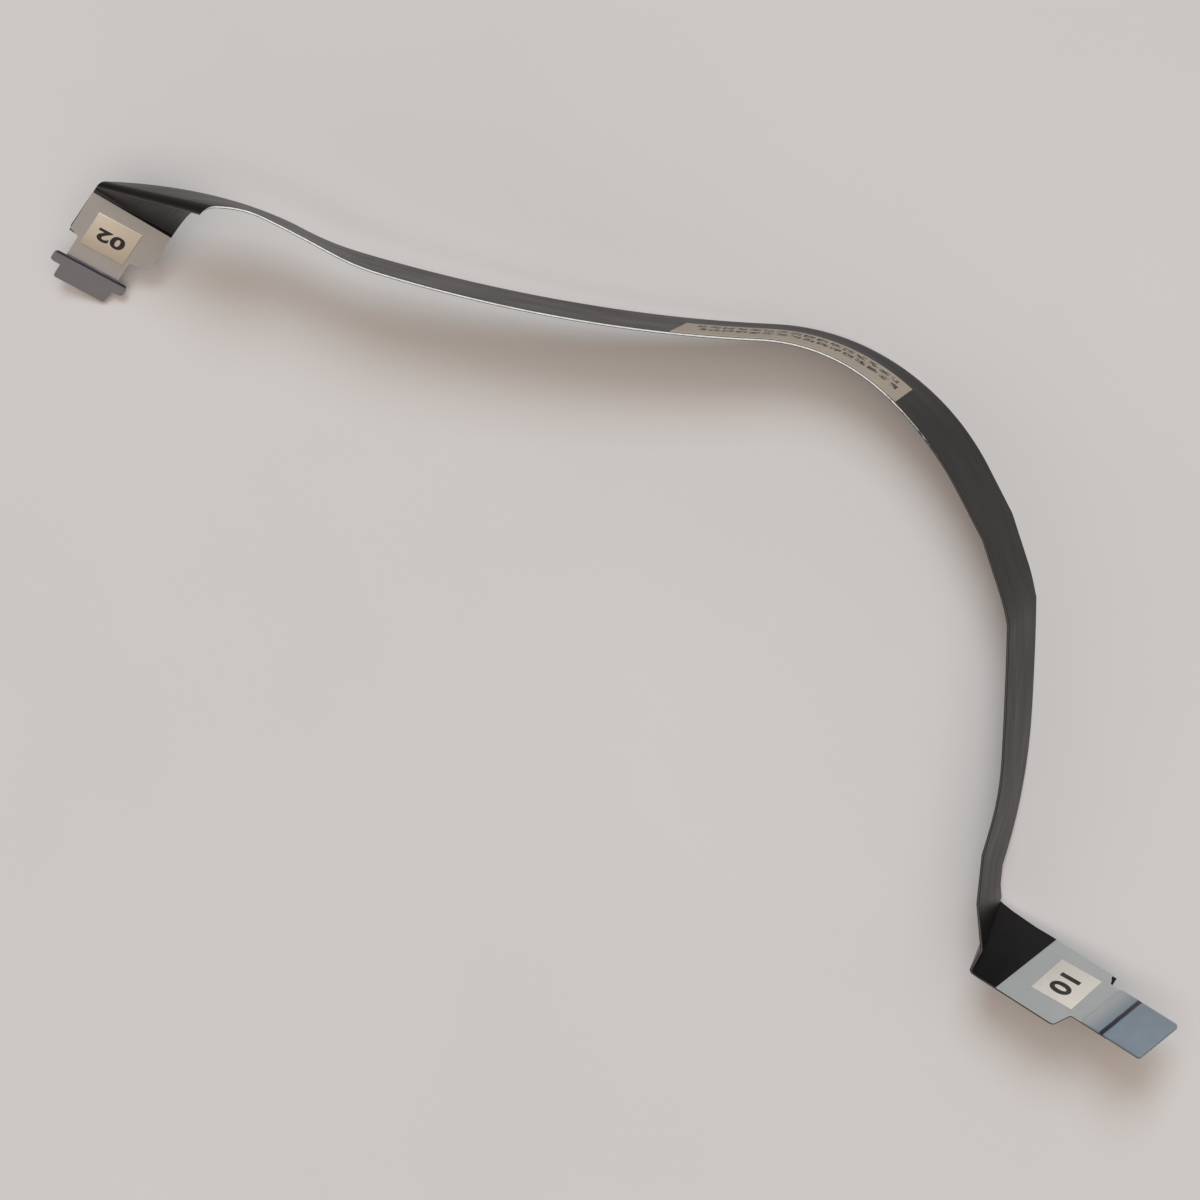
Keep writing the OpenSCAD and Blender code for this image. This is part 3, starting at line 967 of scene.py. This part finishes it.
class FLEXCABLE_OT_stiffeners(bpy.types.Operator):
    """Adds the stiffener of each tail, one of them with an ear at each side"""

    bl_idname = "flexcable.stiffeners"
    bl_label = "Stiffeners"

    def execute(self, context):
        s, colours, _ = settings()
        fold = Fold(s)
        _, _, film, _ = layers(s)
        half = tail_half(s)
        tip = [(half - y, x) for x, y in corner(s.tip_r)]
        start = s.stiffener_b_l - s.ear_setback - s.ear_l
        stop, reach, rounding = start + s.ear_l, half + s.ear_w, corner(s.ear_r)
        ear = [(half, start)] + [(reach - y, start + x) for x, y in rounding]
        ear += [(reach - x, stop - y) for x, y in rounding] + [(half, stop)]
        line_w = s.line_w / MM
        line_a, line_b = s.line_a_at / MM, (fold.length - s.line_b_at) / MM
        fade = (colours.film_a, s.stiffener_a_l / MM)
        blue = stiffener_polyester("Blue Polyester", colours.stiffener_a, colours.line, line_a, line_w, *fade)
        grey = stiffener_polyester("Grey Polyester", colours.stiffener_b, colours.line, line_b, line_w * 0.9)
        for name, end_a, side, material, slot in (
            ("stiffener_a", True, tip + [(half, s.stiffener_a_l)], blue, "stiffener_blue"),
            ("stiffener_b", False, tip + ear + [(half, s.stiffener_b_l)], grey, "stiffener_grey"),
        ):
            outline = [(s.tail_shift + x, y) for x, y in side]
            outline += [(s.tail_shift - x, y) for x, y in reversed(side)]
            piece = flat_piece(
                name + "_plate",
                without_doubles(outline),
                s.stiffener_t,
                fold.matrix(end_a, film),
                0.0 if end_a else fold.length,
                1 if end_a else -1,
                material,
                bevel=0.02 * MM,
            )
            stands_for(piece, slot, name)
        return {"FINISHED"}


def without_doubles(outline):
    """The outline with each of its points once."""
    kept = []
    for point in outline:
        if not kept or math.dist(point, kept[-1]) > SMALLEST:
            kept.append(point)
    return kept if math.dist(kept[0], kept[-1]) > SMALLEST else kept[:-1]


class FLEXCABLE_OT_end_labels(bpy.types.Operator):
    """Adds the small paper label of each end, with a plain number on it"""

    bl_idname = "flexcable.end_labels"
    bl_label = "End Labels"

    def execute(self, context):
        s, colours, _ = settings()
        fold = Fold(s)
        _, _, film, _ = layers(s)
        ink = printing_ink("Label Ink", colours.ink)
        for name, end_a, at, length, turn, colour, slot, digits in (
            ("label_a", True, s.label_a_at, s.label_a_l, 3.0, colours.label_a, "paper_white", "01"),
            ("label_b", False, s.label_b_at, s.label_b_l, 0.0, colours.label_b, "paper_cream", "02"),
        ):
            w, h = s.end_label_w / 2, length / 2
            spin = Matrix.Rotation(math.radians(turn), 4, "Z")
            middle = Matrix.Translation((s.tail_shift, at, 0)) @ spin
            corners = [middle @ Vector((x, y, 0)) for x, y in ((-w, -h), (w, -h), (w, h), (-w, h))]
            paper = label_paper(f"Label Paper {name[-1].upper()}", colour)[0]
            place = fold.matrix(end_a, film)
            piece = flat_piece(
                name + "_paper",
                [(c.x, c.y) for c in corners],
                s.end_label_t,
                place,
                0.0 if end_a else fold.length,
                1 if end_a else -1,
                paper,
                bevel=0.012 * MM,
            )
            stands_for(piece, slot, name)
            # Digits read across the cable, with their tops towards end b
            curve = bpy.data.curves.new(name + "_digits", "FONT")
            curve.body = digits
            curve.size = s.digit_h / 0.69  # the font's digits are 0.69 of its size high
            curve.align_x, curve.align_y = "CENTER", "CENTER"
            curve.offset = 0.1 * MM  # makes the strokes bold
            curve.extrude = 0.004 * MM
            curve.space_character = 1.06
            writer = bpy.data.objects.new(name + "_writer", curve)
            bpy.context.scene.collection.objects.link(writer)
            graph = bpy.context.evaluated_depsgraph_get()
            mesh = bpy.data.meshes.new_from_object(writer.evaluated_get(graph))
            bpy.data.objects.remove(writer)
            upright = Matrix.Identity(4) if end_a else Matrix.Scale(-1, 4, (0, 1, 0))
            mesh.transform(place @ middle @ Matrix.Translation((0, 0, s.end_label_t)) @ upright)
            mesh.materials.clear()
            mesh.materials.append(ink)
            mesh.name = name + "_digits"
            number = finished(name + "_digits", mesh)
            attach(number, BODY)
        return {"FINISHED"}


class FLEXCABLE_OT_long_label(bpy.types.Operator):
    """Adds the long paper label that follows the cable's curve, with two rows of small marks"""

    bl_idname = "flexcable.long_label"
    bl_label = "Long Label"

    def execute(self, context):
        s, colours, _ = settings()
        fold = Fold(s)
        _, _, _, top = layers(s)
        low = -s.width / 2 + s.long_label_margin
        paper = marked_paper("Long Label Paper", colours.long_label, colours.ink, s)
        stations = between(fold, s.long_label_at, s.long_label_at + s.long_label_l)
        piece = folded_strip(
            "label_long_paper", stations, fold, paper, low, low + s.long_label_w, top, top + s.long_label_t
        )
        stands_for(piece, "paper_cream", "label_long")
        return {"FINISHED"}


class FLEXCABLE_OT_declare(bpy.types.Operator):
    """Works out the stations along the whole cable, and leaves them unused"""

    bl_idname = "flexcable.declare"
    bl_label = "Cable Length"

    def execute(self, context):
        s, _, _ = settings()
        fold = Fold(s)
        stations = between(fold, 0.0, fold.length)
        return {"FINISHED"}


OPERATORS = (
    FLEXCABLE_OT_stage,
    FLEXCABLE_OT_films,
    FLEXCABLE_OT_conductors,
    FLEXCABLE_OT_covers,
    FLEXCABLE_OT_stiffeners,
    FLEXCABLE_OT_end_labels,
    FLEXCABLE_OT_long_label,
    FLEXCABLE_OT_declare,
)


class FLEXCABLE_PT_sidebar(bpy.types.Panel):
    """Lists the pieces of the flat flex cable"""

    bl_idname = "FLEXCABLE_PT_sidebar"
    bl_label = "Flat Flex Cable"
    bl_space_type = "VIEW_3D"
    bl_region_type = "UI"
    bl_category = "Flex Cable"

    def draw(self, context):
        for operator in OPERATORS:
            self.layout.operator(operator.bl_idname)
        for group in (
            context.scene.flex_cable_sizes,
            context.scene.flex_cable_colours,
            context.scene.flex_cable_stage,
        ):
            box = self.layout.box()
            for name in group.__annotations__:
                box.prop(group, name)


CLASSES = (FlexCableSizes, FlexCableColours, FlexCableStage, *OPERATORS, FLEXCABLE_PT_sidebar)


def register():
    for cls in CLASSES:
        bpy.utils.register_class(cls)
    bpy.types.Scene.flex_cable_sizes = PointerProperty(type=FlexCableSizes)
    bpy.types.Scene.flex_cable_colours = PointerProperty(type=FlexCableColours)
    bpy.types.Scene.flex_cable_stage = PointerProperty(type=FlexCableStage)


def unregister():
    del bpy.types.Scene.flex_cable_stage
    del bpy.types.Scene.flex_cable_colours
    del bpy.types.Scene.flex_cable_sizes
    for cls in reversed(CLASSES):
        bpy.utils.unregister_class(cls)


def main():
    register()
    bpy.ops.flexcable.stage()
    bpy.ops.flexcable.films()
    bpy.ops.flexcable.conductors()
    bpy.ops.flexcable.covers()
    bpy.ops.flexcable.stiffeners()
    bpy.ops.flexcable.end_labels()
    bpy.ops.flexcable.long_label()
    bpy.ops.flexcable.declare()


if __name__ == "__main__":
    main()
